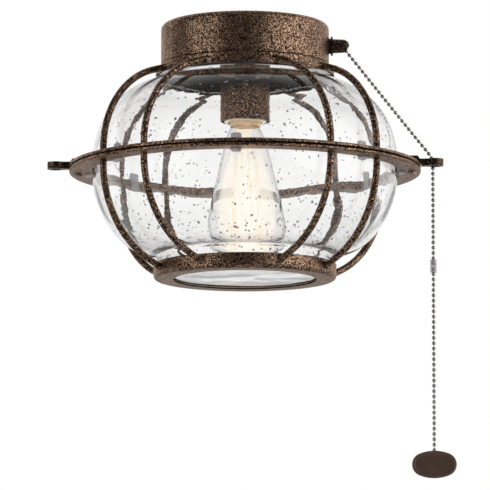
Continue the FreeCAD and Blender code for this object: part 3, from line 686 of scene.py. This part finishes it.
def rippled(seed, broad, fine):
    """Moves a point of the blown wall a little out or in, and a point of the floor up or down."""
    offset = Vector((seed, seed * 0.37, -seed))
    down = Vector((0, 0, -1))

    def shift(p):
        radius = math.hypot(p.x, p.y)
        if radius <= FLAT_R:
            return p + down * (FLOOR_RIPPLE * noise.noise(p * 45 + offset))
        calm = clamped((-0.046 - p.z) / 0.012) * clamped((p.z + 0.2035) / 0.010)
        stretch = Vector((p.x, p.y, p.z * 0.8))
        wave = broad * noise.noise(stretch * 34 + offset) + fine * noise.noise(stretch * 110 + offset * 2)
        return p + Vector((p.x, p.y, 0)).normalized() * wave * calm
    return shift


def globe():
    points, faces = lathe(globe_outline(0.0), GLOBE_SEGMENTS, shift=rippled(3.1, 0.16 * MM, 0.025 * MM))
    inner_points, inner_faces = lathe(globe_outline(GLASS), GLOBE_SEGMENTS,
                                      shift=rippled(11.7, 0.24 * MM, 0.035 * MM), flip=True)
    start = len(points)
    points += inner_points
    faces += [[start + i for i in f] for f in inner_faces]
    ringed(faces, 0, start, GLOBE_SEGMENTS)
    add_seeds(points, faces)
    return make("globe_glass", points, faces, GLOBE_GLASS)


def ball():
    """A small ball with even faces, its corners as directions."""
    work = bmesh.new()
    bmesh.ops.create_icosphere(work, subdivisions=2, radius=1.0)
    work.verts.ensure_lookup_table()
    points = [v.co.copy() for v in work.verts]
    faces = [[v.index for v in f.verts] for f in work.faces]
    work.free()
    return points, faces


SEED_COUNT = 2000
SEEDED_FROM_R, SEEDED_BELOW_Z = 0.066, -0.046
LARGEST_SEED, DEEPEST_SEED = 1.35, 1.05 * MM


def crowding(z):
    """How close together bubbles lie at a height: closest low down, and closer again at the shoulder."""
    return 0.55 + 1.5 * clamped((-0.135 - z) / 0.055) + 0.25 * clamped((z + 0.085) / 0.03)


def add_seeds(points, faces):
    """Bubbles in the wall: flat, slightly drawn out, thickest low down."""
    random.seed(7)
    middle = [((a[0] + b[0]) / 2, (a[1] + b[1]) / 2) for a, b in
              zip(globe_outline(GLASS / 2 - 0.01), globe_outline(GLASS / 2 + 0.01))]
    wall = [p for p in middle if p[0] > SEEDED_FROM_R and p[1] < SEEDED_BELOW_Z]
    spans = [math.dist(a, b) * a[0] * crowding((a[1] + b[1]) / 2) for a, b in zip(wall, wall[1:])]
    shape, shape_faces = ball()
    side = Vector((0, 1, 0))
    for pick in random.choices(range(len(spans)), weights=spans, k=SEED_COUNT):
        a, b = wall[pick], wall[pick + 1]
        share = random.random()
        r, z = a[0] + (b[0] - a[0]) * share, a[1] + (b[1] - a[1]) * share
        along_wall = Vector((b[0] - a[0], 0, b[1] - a[1])).normalized()
        out = Vector((-along_wall.z, 0, along_wall.x))
        size = min(LARGEST_SEED, random.lognormvariate(-0.42, 0.33)) * MM
        wide, deep = size * random.uniform(0.7, 1.0), min(size * 0.75, DEEPEST_SEED)
        tilt = random.uniform(-0.9, 0.9)
        first = along_wall * math.cos(tilt) + side * math.sin(tilt)
        second = side * math.cos(tilt) - along_wall * math.sin(tilt)
        turn = Matrix.Rotation(random.uniform(0, 2 * math.pi), 3, "Z")
        centre = Vector((r, 0, z)) + out * random.uniform(-0.3, 0.3) * MM
        start = len(points)
        for p in shape:
            points.append(turn @ (centre + first * p.x * size + second * p.y * wide + out * p.z * deep))
        faces.extend([[start + i for i in f][::-1] for f in shape_faces])


globe_piece = globe()
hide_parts("glass_globe")

# ---------------------------------------------------------------- lamp

LAMP_SEGMENTS = 96
LAMP_WALL = 1.3
LAMP_FOOT = -194.5
LAMP_LEAN = Vector((0.018, 0, 0))
LAMP_LEANS_FROM_Z = -0.0835
# The lamp's outside, in mm: from inside its cap down the neck, round the widest part, and the crown's arc.
LAMP_NECK = [(11.6, -80.5), (11.6, -84.0), (12.6, -85.0), (14.2, -88.2), (16.2, -91.5)]
LAMP_SLOPE = [(16.2, -91.5), (30.3, -155.0)]
LAMP_WIDEST = [(31.4, -161.0), (32.0, -168.0), (31.3, -174.5), (29.2, -180.0)]
LAMP_CROWN_Z, LAMP_CROWN_R, LAMP_CROWN_DEG = -157.85, 36.65, -37.2


def leaned(p):
    """The lamp sits a touch off straight in its holder."""
    return p + LAMP_LEAN * max(0.0, LAMP_LEANS_FROM_Z - p.z)


def lamp_outline(inset):
    """The lamp's outside, or its inside when inset, down to the middle of its crown, in metres."""
    neck, slope, widest = ([(r - inset, z) for r, z in run] for run in (LAMP_NECK, LAMP_SLOPE, LAMP_WIDEST))
    crown = arc((0, LAMP_CROWN_Z), LAMP_CROWN_R - inset, LAMP_CROWN_DEG, -90, 1.5)
    run = softened(joined(neck, line(*slope, 3.0), widest, crown), 2)
    run[-1] = (0.0, LAMP_FOOT + inset)
    return [(r * MM, z * MM) for r, z in run]


def lamp_envelope():
    points, faces = lathe(lamp_outline(0.0), LAMP_SEGMENTS, shift=leaned)
    inner_points, inner_faces = lathe(lamp_outline(LAMP_WALL), LAMP_SEGMENTS, shift=leaned, flip=True)
    start = len(points)
    points += inner_points
    faces += [[start + i for i in f] for f in inner_faces]
    ringed(faces, 0, start, LAMP_SEGMENTS)
    return make("lamp_envelope", points, faces, LAMP_GLASS)


envelope = lamp_envelope()
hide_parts("bulb_glass")

STRANDS = 10
STRAND_STEPS = 12
STRAND_R = 0.26 * MM
STRAND_SAG = 0.6 * MM
STRAND_TOP_R, STRAND_TOP_Z = 8.5, -104.0
STRAND_FOOT_R, STRAND_FOOT_Z = 12.0, -180.0


def tube(path, radius, sides):
    """Points and faces of a round wire along a path."""
    points, faces = [], []
    for k, place in enumerate(path):
        ahead = (path[min(k + 1, len(path) - 1)] - path[max(k - 1, 0)]).normalized()
        spin = ahead.to_track_quat("Z", "X").to_matrix()
        for i in range(sides):
            turn = 2 * math.pi * i / sides
            points.append(place + spin @ Vector((radius * math.cos(turn), radius * math.sin(turn), 0)))
    for k in range(len(path) - 1):
        ringed(faces, k * sides, (k + 1) * sides, sides)
    return points, faces


def filament():
    """One long hot strand, up and down between its hooks, bowed a little outwards."""
    path = []
    for i in range(STRANDS):
        turn = 2 * math.pi * i / STRANDS
        x, y = math.cos(turn), math.sin(turn)
        top = Vector((STRAND_TOP_R * x, STRAND_TOP_R * y, STRAND_TOP_Z)) * MM
        foot = Vector((STRAND_FOOT_R * x, STRAND_FOOT_R * y, STRAND_FOOT_Z)) * MM
        sag = Vector((x, y, 0)) * STRAND_SAG
        run = [top.lerp(foot, k / STRAND_STEPS) + sag * math.sin(math.pi * k / STRAND_STEPS)
               for k in range(STRAND_STEPS + 1)]
        path += run if i % 2 == 0 else run[::-1]
    points, faces = tube([leaned(p) for p in path], STRAND_R, 6)
    return make("lamp_filament", points, faces, FILAMENT)


strand = filament()
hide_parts("bulb_filament")

HALO_STEPS = 20
HALO_TOP_Z, HALO_HEIGHT = -92.0, 100.0
HALO_TOP_R, HALO_WIDENS = 15.0, 15.5
HALO_SEGMENTS = 48


def lamp_glow():
    """The haze's shell: a rounded body just inside the lamp's glass."""
    outline = []
    for i in range(HALO_STEPS + 1):
        share = i / HALO_STEPS
        rounding = math.sin(math.pi * share) ** 0.35
        outline.append((max(0.0, (HALO_TOP_R + HALO_WIDENS * share) * rounding) * MM,
                        (HALO_TOP_Z - HALO_HEIGHT * share) * MM))
    points, faces = lathe(outline, HALO_SEGMENTS, shift=leaned)
    return make("lamp_glow", points, faces, HALO)


lamp_glow()

# ---------------------------------------------------------------- studio

FLOOR_HALF = 9.0
FLOOR_HEIGHT = -2.3
# Soft round panels of light seen from the object, in degrees from the front: azimuth, elevation, half width,
# soft edge, and strength.
PANELS = ((-56, 8, 12, 18, 1.22), (66, 10, 20, 20, 1.48), (100, 5, 12, 20, 0.6))
AMBIENT, BEHIND, ABOVE = 0.035, 0.95, 0.20
THROUGH_FRONT, THROUGH_BACK_MORE, THROUGH_ABOVE_LESS = 0.67, 0.38, -0.92
LAMP_POWER = 0.16


def studio_floor():
    """A pale floor, clear from below."""
    mesh = bpy.data.meshes.new("studio_floor")
    corners = [(x * FLOOR_HALF, y * FLOOR_HALF, 0) for x, y in ((-1, -1), (1, -1), (1, 1), (-1, 1))]
    mesh.from_pydata(corners, [], [(0, 1, 2, 3)])
    floor = bpy.data.objects.new("studio_floor", mesh)
    floor.location.z = FLOOR_HEIGHT
    scene.collection.objects.link(floor)
    finish, n, place = material("studio_floor")
    pale = n.ramp(n.noise(place, 3.0), (0.3, (0.73, 0.73, 0.73)), (0.7, (0.77, 0.77, 0.77)))
    surface = n.add("BsdfDiffuse", {"Color": pale}).outputs[0]
    below = n.add("NewGeometry").outputs["Backfacing"]
    n.end(n.mix(below, surface, n.add("BsdfTransparent").outputs[0]))
    mesh.materials.append(finish)


def studio_light():
    """White ground for the camera, soft panels for surfaces, and an even light for what glass sees through."""
    world = bpy.data.worlds.new("studio")
    scene.world = world
    w = Nodes(world)
    direction = w.add("TexCoord").outputs["Generated"]
    axes = w.add("SeparateXYZ", {0: direction}).outputs
    lights = AMBIENT
    for azimuth, elevation, wide, soft, strength in PANELS:
        a, e = math.radians(azimuth), math.radians(elevation)
        towards = (math.sin(a) * math.cos(e), -math.cos(a) * math.cos(e), math.sin(e))
        facing = w.add("VectorMath", {0: direction, 1: towards}, operation="DOT_PRODUCT").outputs["Value"]
        lit = w.smooth(facing, math.cos(math.radians(wide + soft)), math.cos(math.radians(wide)))
        lights = w.math("MULTIPLY_ADD", lit, strength, lights)
    lights = w.math("MULTIPLY_ADD", w.smooth(axes["Y"], 0.0, 0.7), BEHIND, lights)
    studio = w.math("MULTIPLY_ADD", w.smooth(axes["Z"], 0.35, 0.9), ABOVE, lights)
    through = w.math("MULTIPLY_ADD", w.smooth(axes["Y"], 0.30, 0.85), THROUGH_BACK_MORE, THROUGH_FRONT)
    dimmed = w.math("MULTIPLY_ADD", w.smooth(axes["Z"], 0.30, 0.65), THROUGH_ABOVE_LESS, 1.0)
    through = w.math("MULTIPLY", through, dimmed)
    paths = w.add("LightPath").outputs
    level = w.add("Mix", {"Factor": paths["Is Transmission Ray"], 2: studio, 3: through}).outputs[0]
    level = w.add("Mix", {"Factor": paths["Is Camera Ray"], 2: level, 3: 1.0}).outputs[0]
    shown = w.add("Background", {"Color": (1.0, 1.0, 1.0, 1.0), "Strength": level}).outputs[0]
    w.end(shown, "OutputWorld")


def lamp_light():
    """The light that the filament throws on what is round it."""
    light = bpy.data.objects.new("lamp_light", bpy.data.lights.new("lamp_light", "POINT"))
    light.data.energy = LAMP_POWER
    light.visible_camera = False
    light.visible_transmission = False
    light.data.color = (1.0, 0.90, 0.76)
    light.data.shadow_soft_size = 0.02
    light.location = (0.0, 0.0, -0.150)
    scene.collection.objects.link(light)


studio_floor()
studio_light()
lamp_light()
